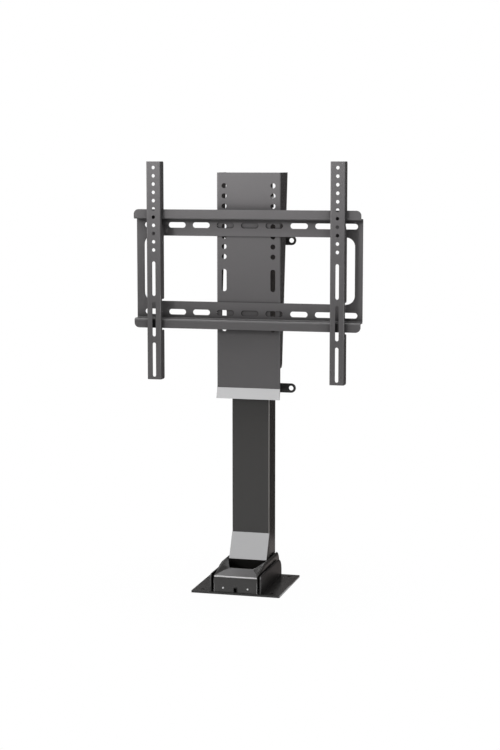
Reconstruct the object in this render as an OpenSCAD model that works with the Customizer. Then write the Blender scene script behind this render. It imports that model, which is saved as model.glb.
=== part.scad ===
// Motorised lift that raises a flat screen out of a cabinet.
// A column stands on a small floor plate. A second column slides up out of it and carries a tall
// plate, a slotted rail frame and two upright arms for the screen. The origin is the middle of the
// floor plate's underside, the front of the lift faces -Y and the drawn state is fully lowered.

/* [Floor plate] */
// Width of the floor plate
base_w = 180; // [170:1:240]
// Depth of the floor plate
base_d = 178; // [174:1:230]
// Thickness of the floor plate
base_t = 4; // [3:0.5:8]
// Floor holes, side to side
floor_pitch_x = 142; // [136:1:160]
// Floor holes, front to back
floor_pitch_y = 144; // [130:1:156]
// Diameter of the floor holes
floor_hole_d = 7; // [5:0.5:9]

/* [Fixed column] */
// Outside width of the fixed column
col_w = 78; // [74:1:80]
// Outside depth of the fixed column
col_d = 52; // [50:1:56]
// Length of the fixed column's tube
col_h = 746; // [700:1:900]
// Wall of both column tubes
col_wall = 2; // [1.5:0.5:2.5]
// Outside corner radius of the column tubes
col_r = 3; // [2.5:0.5:4]
// Height of the guide collar's rim over the tube
collar_rim = 3; // [2:0.5:5]
// Depth that the guide collar reaches into the tube
collar_depth = 25; // [15:1:40]

/* [Sliding column] */
// Gap between the walls of the two tubes
tube_gap = 3; // [2.5:0.5:4]
// Length of the sliding column
slide_len = 673; // [660:1:677]
// Height of its top over the guide collar when lowered
head_rise = 62; // [58:1:80]
// Travel of the lift
travel = 500; // [300:10:520]

/* [Mount plate] */
// Width of the mount plate
plate_w = 130; // [126:1:135]
// Height of the mount plate down to its bottom bend
plate_h = 428.5; // [420:0.5:440]
// Thickness of the mount plate
plate_t = 3; // [2.5:0.5:4]
// Gap between the mount plate's back and the fixed column
plate_gap = 15.5; // [12:0.5:20]
// Height of the plate's top edge over the sliding column
plate_over = 12; // [6:1:20]
// Depth of the side flanges at the top, from the plate's face
flange_top_d = 61; // [50:1:64]
// Depth of the side flanges at their lower end
flange_low_d = 19; // [12:1:26]
// Height of the side flanges
flange_h = 387; // [360:1:400]
// Drop of the flared bottom edge
flare_drop = 21.5; // [16:0.5:26]
// Forward reach of the flared bottom edge
flare_reach = 6; // [4:0.5:8]
// Thickness of the two satin trim strips
trim_t = 1.2; // [1:0.1:1.6]
// Diameter of the plate's holes
plate_hole_d = 10; // [6:0.5:11]
// Distance between the two columns of plate holes
plate_hole_w = 100; // [96:1:102]
// Pitch of the plate's holes
plate_hole_pitch = 20; // [18:1:22]
// Number of holes in each column
plate_hole_n = 8; // [4:1:8]
// Top edge of the plate to the first hole
plate_hole_top = 26; // [18:1:34]
// Length of the plate's long slots
plate_slot_l = 44.5; // [30:0.5:60]
// Pitch of the plate's long slots
plate_slot_pitch = 80; // [70:1:84]

/* [Rail frame] */
// Width of the rail frame
rail_w = 462; // [458:1:480]
// Sheet thickness of the rail frame
rail_t = 2.5; // [2:0.5:3]
// Plate's top edge to the middle of the rail frame
rail_drop = 191.25; // [180:0.25:200]
// Width of the frame's upright sides
rail_side = 15.5; // [12:0.5:20]
// Inside radius of the frame's bends
rail_bend_r = 1.5; // [1:0.1:2]
// Height of the frame's window
window_h = 131; // [120:1:140]
// Corner radius of the frame's window
window_r = 17.5; // [10:0.5:25]
// Height of each rail's face
rail_h = 36.5; // [34:0.5:40]
// Forward reach of the hooked rims
rim_reach = 20; // [16:0.5:22]
// Height of the hooked rims
rim_h = 16.5; // [14:0.5:18]
// Corner radius of the rims
rim_r = 10; // [5:0.5:12]
// Length of a rail slot
rail_slot_l = 35.5; // [25:0.5:40]
// Width of a rail slot
rail_slot_w = 11; // [8:0.5:14]
// Pitch of the rail slots
rail_slot_pitch = 50; // [45:1:52]
// Least gap between the last slot and the rail's end
rail_slot_end = 9; // [6:0.5:12]
// Rail's outer edge to the middle of its slots
rail_slot_edge = 15; // [12:0.5:18]
// Sideways shift of the slot row
rail_slot_shift = 3.3; // [0:0.1:4]

/* [Arms] */
// Length of a screen arm
arm_l = 434.5; // [425:0.5:450]
// Width of a screen arm
arm_w = 29; // [26:0.5:32]
// Depth of a screen arm
arm_d = 23; // [21:0.5:24]
// Sheet thickness of a screen arm
arm_t = 2; // [1.5:0.5:2.5]
// Gap between an arm's web and the rims
arm_gap = 8.65; // [7:0.05:10]
// Rail's end to the middle of an arm
arm_inset = 44.5; // [20:0.5:60]
// Arm's top edge to the seat of its hook
arm_hook_drop = 94.5; // [85:0.5:105]
// Diameter of the arm's holes and width of its slots
arm_hole_d = 7; // [5:0.5:8]
// Number of holes in an arm
arm_hole_n = 11; // [6:1:11]
// Pitch of the arm's holes
arm_hole_pitch = 16.3; // [15:0.1:17]
// Arm's top edge to its first hole
arm_hole_top = 12; // [8:0.5:16]
// Bridge between two of the arm's three slots
arm_slot_bridge = 12.3; // [8:0.1:16]
// Arm's bottom edge to its last slot
arm_slot_end = 5.3; // [4:0.1:12]
// Arm's top edge to its first slot
arm_slot_top = 197.6; // [190:0.1:200]

/* [Wall straps] */
// Thickness of a wall strap
strap_t = 3; // [2:0.5:4]
// Height of a wall strap
strap_h = 19; // [16:0.5:24]
// Distance between the two eyes of a strap
eye_pitch_x = 142; // [136:1:170]
// Distance between the two straps
eye_pitch_z = 299.4; // [250:0.1:320]
// Diameter of an eye
eye_d = 9.7; // [6:0.1:11]
// Top of the fixed column to the upper strap
strap_drop = 61.8; // [50:0.1:80]

/* [Boot] */
// Width of the boot's front block
block_w = 88; // [86:1:90]
// Height of the front block at its front edge
block_front_h = 32; // [28:0.5:34]
// Height of the front block at its back edge
block_back_h = 39; // [36:0.5:40]
// Depth of the front block
block_depth = 44; // [40:1:60]
// Wall of the boot's shell
shell_t = 2.5; // [2:0.1:3]
// Set-back of the boot from the floor plate's front edge
boot_set = 3; // [2:0.5:8]
// Thickness of a cheek
cheek_t = 2.6; // [2:0.1:3]
// Gap between the shell's side wall and a cheek
cheek_gap = 5.4; // [5:0.1:6]
// Height of a cheek
cheek_h = 36; // [32:0.5:37]
// Radius of a cheek's back corner
cheek_r = 25; // [15:1:30]
// Height of the beads over the cheeks
bead_h = 10.5; // [6:0.5:12]
// Height of the boot's two front screws
boot_screw_z = 9; // [7:0.5:12]
// Distance between the boot's two front screws
boot_screw_pitch = 50; // [40:1:60]

/* [Nose cover] */
// Height of the nose cover's top edge over the floor plate
nose_top_h = 96.5; // [90:0.5:104]
// Height of the nose's foremost edge
nose_mid_h = 46; // [44:0.5:50]
// Height of the nose's bottom edge
nose_low_h = 22; // [18:0.5:26]
// Forward reach of the nose from the column
nose_reach = 24.7; // [20:0.1:30]
// Sheet thickness of the nose cover
nose_wall = 1.5; // [1:0.1:2]

/* [Drive] */
// Diameter of the motor and its gearbox
motor_d = 40; // [36:1:42]
// Length of the motor
motor_l = 48; // [40:1:50]
// Length of the gearbox
gearbox_l = 30; // [24:1:32]
// Diameter of the lead screw
screw_d = 14; // [12:0.5:16]
// Diameter of the gearbox's output shaft
shaft_d = 8; // [6:0.5:9]
// Length of the drive nut
nut_l = 33; // [25:1:35]

/* [Clearances] */
// Gap between sliding faces
slide_gap = 0.3; // [0.2:0.05:0.5]
// Radial gap of a turning fit
run_gap = 0.05; // [0.02:0.01:0.1]
// Radial gap of a screw in its hole
bolt_gap = 0.2; // [0.1:0.05:0.3]

/* [Hidden] */

$fn = 64;
cut = 1;

paint = [0.37, 0.36, 0.37];
dark_paint = [0.26, 0.26, 0.26];
satin = [0.72, 0.72, 0.74];
black_plastic = [0.13, 0.13, 0.13];
grey_plastic = [0.30, 0.30, 0.30];
zinc = [0.70, 0.71, 0.72];
bronze = [0.72, 0.52, 0.26];
board_green = [0.10, 0.32, 0.20];

// Planes from front to back
base_front = -base_d / 2;
base_back = base_d / 2;
col_back = base_back - strap_t;
col_front = col_back - col_d;
col_y = (col_front + col_back) / 2;
plate_back = col_front - plate_gap;
plate_front = plate_back - plate_t;
rail_front = plate_front - rail_t;
rim_front = rail_front - rim_reach;
arm_front = rim_front - arm_gap - arm_t;
arm_back = arm_front + arm_d;

// Heights from the floor up
tube_top = base_t + col_h;
col_top = tube_top + collar_rim;
slide_top = col_top + head_rise;
slide_bottom = slide_top - slide_len;
plate_top = slide_top + plate_over;
plate_bend = plate_top - plate_h;
rail_z = plate_top - rail_drop;
web_half = window_h / 2 + rail_h;
rim_top = rail_z + web_half + rim_h;
rim_bottom = rail_z - web_half - rim_h;
window_w = rail_w - 2 * rail_side;
arm_top = rim_top + arm_hook_drop;
arm_bottom = arm_top - arm_l;
strap_z = [col_top - strap_drop, col_top - strap_drop - eye_pitch_z];

// Tubes
slide_w = col_w - 2 * col_wall - 2 * tube_gap;
slide_d = col_d - 2 * col_wall - 2 * tube_gap;
cavity_w = col_w - 2 * col_wall;
cavity_d = col_d - 2 * col_wall;
cavity_r = col_r - col_wall;

// Drive cassette, stacked on the foot block
block_fit = 0.2;
foot_block_h = 20;
motor_rest = 6;
plate_thick = 4;
bearing_thick = 6;
cassette_gap = 16;
rod_d = 6;
rod_share = [0.41, 0.36];
rod_nut_h = 3;
sleeve_d = 9;
motor_z = base_t + foot_block_h + motor_rest;
gearbox_z = motor_z + motor_l;
motor_plate_z = gearbox_z + gearbox_l;
bearing_plate_z = motor_plate_z + plate_thick + cassette_gap;
bearing_d = 26;
bearing_h = 8;
bearing_seat = 4;
bearing_z = bearing_plate_z + bearing_thick - bearing_seat;
journal_d = screw_d - 4;
shoulder_d = screw_d + 2;
shoulder_h = 3;
screw_z = bearing_z + bearing_h;
coupling_d = 20;
coupling_l = cassette_gap - 2;
coupling_z = motor_plate_z + plate_thick + 1;
shaft_hold = 6;
nut_d = 24;
nut_flange_t = 8;
end_guide_h = 5;
end_guide_gap = 0.5;
end_room = 4;
screw_top = slide_bottom + travel + nut_l + end_room;
glide_h = 30;
nut_screw_d = 3;
nut_screw_l = 11;
nut_screw_sink = 1.5;
cap_t = 2;
cap_plug = 10;
collar_over = 1;

// Head bracket
ear_t = 3;
ear_low = 4;
ear_back = 6;
ear_cut_y = 30;
ear_cut_z = 33;
head_bolt_d = 8;
head_bolt_z = 14;
head_bolt_y_shares = [0.3, 0.62];
bolt_head_h = 4;

// Boot
shell_x = block_w / 2;
cheek_x = shell_x + cheek_gap;
boot_front = base_front + boot_set;
boot_back = base_back - 1;
cheek_front_r = 6;
cheek_foot_t = 3;
bead_in = 0.6;
bead_x0 = col_w / 2 + bead_in;
bead_x1 = cheek_x - 0.4;
bead_seam = 1.3;
bead_low = 3.5;
bead_ramp = 60;
bead_late = 30;
bead_foot = 34;
bead_tail = 9;
bead_end = 8;
bead_base = 1;
bead_tip = 0.5;
bead_z = base_t + cheek_h + bead_seam;
shell_back = boot_back - 12;
front_edge_r = 3;
small_screw_d = 4;
small_head_d = 5.4;
small_head_h = 1.6;
tab_w = 14;
tab_h = 16;
tab_t = 2;
outlet_w = 7.5;
outlet_h = 10.5;
grommet_wall = 1.1;
grommet_lip = 1.4;
box_w = 72;
box_h = 24;
box_t = 2;
box_gap = 1;
board_t = 1.6;
cheek_screw_shares = [0.12, 0.5];

// Nose cover
nose_top = base_t + nose_top_h;
nose_mid = base_t + nose_mid_h;
nose_low = base_t + nose_low_h;
nose_slope = (nose_top - nose_mid) / nose_reach;
nose_under = (nose_mid - nose_low) / nose_reach;
trim_shift = trim_t * sqrt(1 + pow(nose_slope, 2));
nose_tip_y = col_front - nose_reach + trim_shift / (nose_slope + nose_under);
nose_tip_z = nose_mid - nose_under * trim_shift / (nose_slope + nose_under);
nose_skin = nose_wall * 2;

// Flared bottom edge
flare_bottom = plate_bend - flare_drop;
flare_tip = plate_front - flare_reach;
trim_run = trim_t * sqrt(1 + pow(flare_reach / flare_drop, 2));

// Rail studs
stud_d = 5;
stud_nut_h = 4;
stud_over = 1.5;

// Arms
arm_x = rail_w / 2 - arm_inset;
arm_slot_l = (arm_l - arm_slot_top - arm_slot_end - 2 * arm_slot_bridge) / 3;
hook_room = 0.5;
hook_tooth = 13;
hook_clear = 3.5;
hook_slope_low = 24;
hook_slope_top = 9;
low_notch_up = 58;
low_notch_down = 4;
low_notch_room = 2;
notch_r = 4;
arm_bend_r = 2.5;
arm_corner_r = 4;
lock_bar_h = 8;
lock_gap = 0.3;
lock_finger = 4;
lock_rise = 6;
lock_back = 2.5;
lock_drop = 27;
lock_screw_d = 3;
lock_sink = 1.2;
plate_bend_r = 3;
plate_slot_top = 213;
flange_corner_r = 10;
countersink_h = 2;
strap_screw_d = 5;
strap_screw_share = 0.3;
column_screw_d = 4;
screw_sink = 2;

module rounded(w, d, r) {
    square([w - 2 * r, d], center = true);
    square([w, d - 2 * r], center = true);
    for (x = [-1, 1], y = [-1, 1])
        translate([x * (w / 2 - r), y * (d / 2 - r)]) circle(r);
}

module slot(l, w) {
    square([l - w, w], center = true);
    for (s = [-1, 1])
        translate([s * (l - w) / 2, 0]) circle(w / 2);
}

// A flat sheet across the lift: the outline is drawn in X and Z
module sheet(y, t) {
    translate([0, y + t, 0]) rotate([90, 0, 0]) linear_extrude(t) children();
}

// A flat sheet along the lift: the outline is drawn in Y and Z
module side_sheet(x, t) {
    translate([x, 0, 0]) rotate([90, 0, 90]) linear_extrude(t) children();
}

module tube(w, d, wall, r, h) {
    linear_extrude(h) difference() {
        rounded(w, d, r);
        rounded(w - 2 * wall, d - 2 * wall, r - wall);
    }
}

// A pan head screw along +Z with a hexagon socket, its head on top of the plane Z = 0
module socket_screw(d, l, head_d, head_h) {
    translate([0, 0, -l]) cylinder(h = l, d = d);
    difference() {
        cylinder(h = head_h, d1 = head_d, d2 = head_d * 0.8);
        translate([0, 0, head_h / 2]) cylinder(h = head_h, d = head_d * 0.45, $fn = 6);
    }
}

// A flat head screw along +Z, its head flush with the plane Z = 0
module flat_screw(d, l, sink) {
    translate([0, 0, -l]) cylinder(h = l, d = d);
    difference() {
        translate([0, 0, -sink]) cylinder(h = sink, d1 = d, d2 = d + 2 * sink);
        translate([0, 0, -sink * 0.6]) cylinder(h = sink + cut, d = d * 0.55, $fn = 6);
    }
}

module flat_hole(d, l, sink) {
    translate([0, 0, -l]) cylinder(h = l + cut, d = d + 2 * bolt_gap);
    translate([0, 0, -sink]) cylinder(h = sink, d1 = d + 2 * bolt_gap, d2 = d + 2 * sink + 2 * bolt_gap);
    cylinder(h = cut, d = d + 2 * sink + 2 * bolt_gap);
}

function arc(c, r, from, to, n = 12) =
    [for (i = [0:n]) let(a = from + (to - from) * i / n) [c[0] + r * cos(a), c[1] + r * sin(a)]];

// Floor plate and the block that the column stands on

module floor_holes() {
    for (x = [-1, 1], y = [-1, 1])
        translate([x * floor_pitch_x / 2, y * floor_pitch_y / 2, -cut])
            cylinder(h = base_t + 2 * cut, d = floor_hole_d);
}

module at_foot_bolts() {
    for (x = [-1, 1], y = [-1, 1])
        translate([x * cavity_w * 0.3, col_y + y * cavity_d * 0.28, 0]) rotate([180, 0, 0]) children();
}

foot_bolt_l = base_t + foot_block_h * 0.6;
foot_bolt_d = 6;
foot_bolt_sink = base_t * 0.75;

module base_plate() {
    color(dark_paint) difference() {
        linear_extrude(base_t) rounded(base_w, base_d, col_r / 2);
        floor_holes();
        at_foot_bolts() flat_hole(foot_bolt_d, foot_bolt_l + cut, foot_bolt_sink);
        at_cheek_screws() translate([0, 0, -base_t - cheek_foot_t])
            cylinder(h = base_t + cut, d = small_screw_d - 1 + 2 * run_gap);
    }
}

module foot_block() {
    color(zinc) difference() {
        translate([0, col_y, base_t]) linear_extrude(foot_block_h)
            rounded(cavity_w - 2 * block_fit, cavity_d - 2 * block_fit, cavity_r);
        at_foot_bolts() translate([0, 0, -foot_bolt_l - cut])
            cylinder(h = foot_bolt_l, d = foot_bolt_d + 2 * run_gap);
        at_rods() translate([0, 0, base_t + foot_block_h / 2])
            cylinder(h = foot_block_h, d = rod_d + 2 * run_gap);
        at_column_screws() translate([0, 0, -block_fit - foot_block_h])
            cylinder(h = foot_block_h + cut, d = column_screw_d + 2 * run_gap);
    }
}

module foot_bolts() {
    color(zinc) at_foot_bolts() flat_screw(foot_bolt_d, foot_bolt_l, foot_bolt_sink);
}

// Fixed column

module at_column_screws() {
    for (s = [-1, 1], y = [-1, 1])
        translate([s * col_w / 2, col_y + y * cavity_d / 4, base_t + foot_block_h / 2])
            rotate([0, s * 90, 0]) children();
}

module at_strap_screws() {
    for (z = strap_z, x = [-1, 1])
        translate([x * col_w * strap_screw_share, base_back, z]) rotate([-90, 0, 0]) children();
}

module outer_column() {
    cable_hole_d = 10;
    color(dark_paint) difference() {
        translate([0, col_y, base_t]) tube(col_w, col_d, col_wall, col_r, col_h);
        at_column_screws() translate([0, 0, -col_wall - cut])
            cylinder(h = col_wall + 2 * cut, d = column_screw_d + 2 * bolt_gap);
        at_strap_screws() translate([0, 0, -strap_t - col_wall - cut])
            cylinder(h = col_wall + 2 * cut, d = strap_screw_d + 2 * run_gap);
        translate([0, col_front - cut, nose_low + cable_hole_d]) rotate([-90, 0, 0])
            cylinder(h = col_wall + 2 * cut, d = cable_hole_d);
    }
}

column_head_d = 7;
column_head_h = 1.8;

module column_screws() {
    color(zinc) at_column_screws()
        socket_screw(column_screw_d, col_wall + foot_block_h / 2, column_head_d, column_head_h);
}

module guide_collar() {
    color(black_plastic) translate([0, col_y, 0]) difference() {
        union() {
            translate([0, 0, tube_top]) linear_extrude(collar_rim)
                rounded(col_w + 2 * collar_over, col_d + 2 * collar_over, col_r + collar_over);
            translate([0, 0, tube_top - collar_depth]) linear_extrude(collar_depth + cut)
                rounded(cavity_w, cavity_d, cavity_r);
        }
        translate([0, 0, tube_top - collar_depth - cut]) linear_extrude(collar_depth + collar_rim + 2 * cut)
            rounded(slide_w + 2 * slide_gap, slide_d + 2 * slide_gap, col_r + slide_gap);
    }
}

// Drive cassette inside the column's foot

module at_rods() {
    for (x = [-1, 1], y = [-1, 1])
        translate([x * cavity_w * rod_share[0], col_y + y * cavity_d * rod_share[1], 0]) children();
}

module tie_rods() {
    rod_z = base_t + foot_block_h / 2;
    rod_top = bearing_plate_z + bearing_thick;
    color(zinc) at_rods() {
        translate([0, 0, rod_z]) cylinder(h = rod_top + rod_nut_h - rod_z, d = rod_d);
        translate([0, 0, rod_top]) cylinder(h = rod_nut_h, d = rod_d * 1.6, $fn = 6);
    }
}

module rod_sleeves() {
    low_z = base_t + foot_block_h;
    top_z = motor_plate_z + plate_thick;
    color(zinc) at_rods() {
        translate([0, 0, low_z]) sleeve(motor_plate_z - low_z);
        translate([0, 0, top_z]) sleeve(bearing_plate_z - top_z);
    }
}

module sleeve(h) {
    difference() {
        cylinder(h = h, d = sleeve_d);
        translate([0, 0, -cut]) cylinder(h = h + 2 * cut, d = rod_d + 2 * bolt_gap);
    }
}

module drive_motor() {
    end_cap_h = 8;
    color(zinc) translate([0, col_y, motor_z]) {
        translate([0, 0, end_cap_h]) cylinder(h = motor_l - end_cap_h, d = motor_d);
        difference() {
            cylinder(h = end_cap_h + cut, d = motor_d - 3);
            translate([0, 0, -cut]) cylinder(h = 2 * cut, d = motor_d / 3);
        }
    }
}

module gearbox() {
    ring_gap = 1;
    boss_d = motor_d / 2;
    color(dark_paint) translate([0, col_y, gearbox_z]) difference() {
        cylinder(h = gearbox_l, d = motor_d);
        for (z = [gearbox_l / 4, gearbox_l * 3 / 4])
            translate([0, 0, z]) difference() {
                cylinder(h = ring_gap, d = motor_d + cut);
                translate([0, 0, -cut]) cylinder(h = ring_gap + 2 * cut, d = motor_d - ring_gap);
            }
        translate([0, 0, gearbox_l - shaft_hold * 2])
            cylinder(h = shaft_hold * 2 + cut, d = shaft_d + 2 * run_gap);
        translate([0, 0, gearbox_l - ring_gap]) difference() {
            cylinder(h = ring_gap + cut, d = boss_d + 2 * ring_gap);
            translate([0, 0, -cut]) cylinder(h = ring_gap + 3 * cut, d = boss_d);
        }
    }
}

module cassette_plate(z, t, hole_d) {
    translate([0, 0, z]) linear_extrude(t) difference() {
        translate([0, col_y]) rounded(cavity_w - 2 * block_fit, cavity_d - 2 * block_fit, cavity_r);
        translate([0, col_y]) circle(hole_d / 2);
    }
}

module motor_plate() {
    color(zinc) difference() {
        cassette_plate(motor_plate_z, plate_thick, shaft_d + 2);
        at_rods() translate([0, 0, motor_plate_z - cut])
            cylinder(h = plate_thick + 2 * cut, d = rod_d + 2 * run_gap);
    }
}

module bearing_plate() {
    color(zinc) difference() {
        cassette_plate(bearing_plate_z, bearing_thick, journal_d + 3);
        translate([0, col_y, bearing_z]) cylinder(h = bearing_seat + cut, d = bearing_d + 2 * run_gap);
        at_rods() translate([0, 0, bearing_plate_z - cut])
            cylinder(h = bearing_thick + 2 * cut, d = rod_d + 2 * run_gap);
    }
}

module thrust_bearing() {
    groove = 1.2;
    color(zinc) translate([0, col_y, bearing_z]) rotate_extrude() difference() {
        translate([journal_d / 2 + run_gap, 0]) square([(bearing_d - journal_d) / 2 - run_gap, bearing_h]);
        translate([(bearing_d + journal_d) / 4, bearing_h]) circle(groove);
        translate([(bearing_d + journal_d) / 4, 0]) circle(groove);
    }
}

// Nose cover at the column's foot

module foot_nose() {
    color(black_plastic) difference() {
        side_sheet(-col_w / 2, col_w) polygon([
            [col_front, nose_top - trim_shift], [nose_tip_y, nose_tip_z], [col_front, nose_low]]);
        side_sheet(-col_w / 2 + nose_wall, col_w - 2 * nose_wall) polygon([
            [col_front + cut, nose_top - trim_shift - nose_slope * nose_skin],
            [nose_tip_y + nose_skin, nose_tip_z],
            [col_front + cut, nose_low + nose_skin]]);
    }
}

module nose_trim() {
    color(satin) side_sheet(-col_w / 2, col_w) polygon([
        [col_front, nose_top], [col_front - nose_reach, nose_mid],
        [nose_tip_y, nose_tip_z], [col_front, nose_top - trim_shift]]);
}

// Boot round the column's foot

function bead_front(y, run) = min(1, max(0, (y - boot_front) / run));
function bead_back(y) = max(0, (y - boot_back + bead_end + bead_tail) / bead_tail);
function bead_rise(y, s) = max(bead_tip, bead_h * sin(90 * bead_front(y - bead_late * s, bead_ramp))
    * sqrt(max(0, 1 - pow(bead_back(y), 2))));
function bead_floor(y) = bead_z - bead_low * (1 - sin(90 * bead_front(y, bead_foot / 2)));
function bead_shape(s) = pow(sin(180 * pow(s, 0.7)), 0.5);

bead_steps = 30;
bead_points = 10;
function bead_ring(y) = concat(
    [[bead_x0, y, bead_floor(y) - bead_base]],
    [for (i = [0:bead_points]) let(s = i / bead_points)
        [bead_x0 + (bead_x1 - bead_x0) * s, y, bead_floor(y) + bead_rise(y, s) * bead_shape(s)]],
    [[bead_x1, y, bead_floor(y) - bead_base]]);

module bead() {
    y0 = boot_front + bead_tip;
    y1 = boot_back - bead_end;
    count = bead_points + 3;
    points = [for (k = [0:bead_steps]) each bead_ring(y0 + (y1 - y0) * sin(90 * k / bead_steps))];
    last = bead_steps * count;
    sides = [for (k = [0:bead_steps - 1], i = [0:count - 1]) let(
            a = k * count + i, b = k * count + (i + 1) % count)
        each [[a, b + count, b], [a, a + count, b + count]]];
    ends = [for (i = [1:count - 2]) each [[0, i, i + 1], [last, last + i + 1, last + i]]];
    polyhedron(points = points, faces = concat(sides, ends));
}

module block_outline(inset) {
    z0 = base_t + block_front_h - inset;
    z1 = base_t + block_back_h - inset;
    r = front_edge_r;
    y0 = boot_front + inset;
    polygon(concat([[y0, base_t - (inset > 0 ? cut : 0)]],
        arc([y0 + r, z0 - r], r, 180, 90, 8),
        [[boot_front + block_depth + (inset > 0 ? cut : 0), z1]],
        [[boot_front + block_depth + (inset > 0 ? cut : 0), base_t - (inset > 0 ? cut : 0)]]));
}

module at_boot_screws() {
    for (x = [-1, 1])
        translate([x * boot_screw_pitch / 2, boot_front, base_t + boot_screw_z]) rotate([90, 0, 0]) children();
}

module boot_cover() {
    wall_h = bead_z - base_t;
    color(grey_plastic) difference() {
        union() {
            difference() {
                side_sheet(-shell_x, block_w) block_outline(0);
                side_sheet(-shell_x + shell_t, block_w - 2 * shell_t) block_outline(shell_t);
            }
            for (s = [-1, 1]) mirror([s < 0 ? 1 : 0, 0, 0]) {
                translate([shell_x - shell_t, boot_front + block_depth / 2, base_t])
                    cube([shell_t, shell_back - boot_front - block_depth / 2, wall_h - bead_base / 2]);
                bead();
            }
        }
        at_boot_screws() translate([0, 0, -shell_t - cut])
            cylinder(h = shell_t + 2 * cut, d = small_screw_d + 2 * bolt_gap);
        translate([-outlet_w / 2, boot_front - cut, base_t - cut])
            cube([outlet_w, shell_t + 2 * cut, outlet_h + cut]);
    }
}

function cheek_outline() = let(
    y0 = boot_front, y1 = boot_back, z0 = base_t, z1 = base_t + cheek_h, r0 = cheek_front_r, r1 = cheek_r)
    concat([[y0, z0]], arc([y0 + r0, z1 - r0], r0, 180, 90, 8), arc([y1 - r1, z1 - r1], r1, 90, 0, 16),
        [[y1, z0]]);

module at_cheek_screws() {
    for (s = [-1, 1], share = cheek_screw_shares)
        translate([s * (cheek_x - cheek_gap / 2 + 0.2), boot_front + (boot_back - boot_front) * share,
                base_t + cheek_foot_t])
            children();
}

module cheek() {
    foot_gap = 0.4;
    difference() {
        union() {
            side_sheet(cheek_x, cheek_t) polygon(cheek_outline());
            translate([shell_x + foot_gap, boot_front + cheek_front_r, base_t])
                cube([cheek_gap - foot_gap + cut, boot_back - boot_front - 4 * cheek_front_r, cheek_foot_t]);
        }
        at_cheek_screws() translate([0, 0, -cheek_foot_t - cut])
            cylinder(h = cheek_foot_t + 2 * cut, d = small_screw_d - 1 + 2 * bolt_gap);
    }
}

module boot_cheek_left() {
    color(black_plastic) mirror([1, 0, 0]) cheek();
}

module boot_cheek_right() {
    color(black_plastic) cheek();
}

module boot_tabs() {
    color(zinc) difference() {
        for (s = [-1, 1])
            translate([s * boot_screw_pitch / 2 - tab_w / 2, boot_front + shell_t, base_t])
                cube([tab_w, tab_t, tab_h]);
        at_boot_screws() translate([0, 0, -shell_t - tab_t - cut])
            cylinder(h = tab_t + 2 * cut, d = small_screw_d + 2 * run_gap);
    }
}

module boot_screws() {
    color(zinc) at_boot_screws()
        socket_screw(small_screw_d, shell_t + 1.5 * tab_t, small_head_d, small_head_h);
}

module cheek_screws() {
    color(zinc) at_cheek_screws()
        socket_screw(small_screw_d - 1, cheek_foot_t + base_t / 2, small_screw_d + 0.8, small_head_h);
}

module cable_grommet() {
    room = 0.1;
    color(black_plastic) difference() {
        union() {
            translate([-outlet_w / 2 + room, boot_front - grommet_lip, base_t])
                cube([outlet_w - 2 * room, shell_t + 2 * grommet_lip, outlet_h - room]);
            translate([-outlet_w / 2 - grommet_lip, boot_front + shell_t, base_t])
                cube([outlet_w + 2 * grommet_lip, grommet_lip, outlet_h + grommet_lip]);
        }
        translate([-outlet_w / 2 + grommet_wall + room, boot_front - grommet_lip - cut, base_t + grommet_wall])
            cube([outlet_w - 2 * grommet_wall - 2 * room, shell_t + 3 * grommet_lip + 2 * cut,
                outlet_h - 2 * grommet_wall - room]);
    }
}

box_y = boot_front + shell_t + tab_t + box_gap + grommet_lip;
box_d = boot_front + block_depth - box_y - box_gap;

module control_box() {
    vent_w = 2;
    vent_l = 14;
    color(black_plastic) difference() {
        translate([-box_w / 2, box_y, base_t]) cube([box_w, box_d, box_h]);
        translate([-box_w / 2 + box_t, box_y + box_t, base_t + box_t])
            cube([box_w - 2 * box_t, box_d - 2 * box_t, box_h - 2 * box_t]);
        for (i = [-2:2])
            translate([i * box_w / 8 - vent_w / 2, box_y + box_d / 2 - vent_l / 2, base_t + box_h - box_t - cut])
                cube([vent_w, vent_l, box_t + 2 * cut]);
        translate([-outlet_w / 2, box_y - cut, base_t + box_t])
            cube([outlet_w, box_t + 2 * cut, outlet_h - box_t]);
    }
}

module circuit_board() {
    stand = 4;
    part_h = [9, 7, 12];
    part_x = [-24, -8, 18];
    color(board_green) {
        translate([-box_w / 2 + box_t + box_gap, box_y + box_t + box_gap, base_t + box_t + stand])
            cube([box_w - 2 * box_t - 2 * box_gap, box_d - 2 * box_t - 2 * box_gap, board_t]);
        for (x = [-1, 1])
            translate([x * (box_w / 2 - 2 * stand), box_y + box_d / 2, base_t + box_t])
                cylinder(h = stand + board_t / 2, d = stand);
        for (i = [0:2])
            translate([part_x[i] - stand, box_y + box_d / 2 - stand, base_t + box_t + stand + board_t / 2])
                cube([2 * stand, 2 * stand, part_h[i]]);
    }
}

// Wall straps on the back of the fixed column

module strap(z) {
    difference() {
        sheet(col_back, strap_t) translate([0, z]) difference() {
            slot(eye_pitch_x + strap_h, strap_h);
            for (s = [-1, 1]) translate([s * eye_pitch_x / 2, 0]) circle(eye_d / 2);
        }
        at_strap_screws() flat_hole(strap_screw_d, strap_t + cut, screw_sink);
    }
}

module strap_upper() {
    color(dark_paint) strap(strap_z[0]);
}

module strap_lower() {
    color(dark_paint) strap(strap_z[1]);
}

module strap_screws() {
    color(zinc) at_strap_screws() flat_screw(strap_screw_d, strap_t + col_wall, screw_sink);
}

// Sliding column and its head

module at_head_bolts() {
    for (s = [-1, 1], share = head_bolt_y_shares)
        translate([s * (slide_w / 2 + ear_t), col_y - slide_d / 2 + slide_d * share,
                col_top + ear_low + head_bolt_z])
            rotate([0, s * 90, 0]) children();
}

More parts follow.
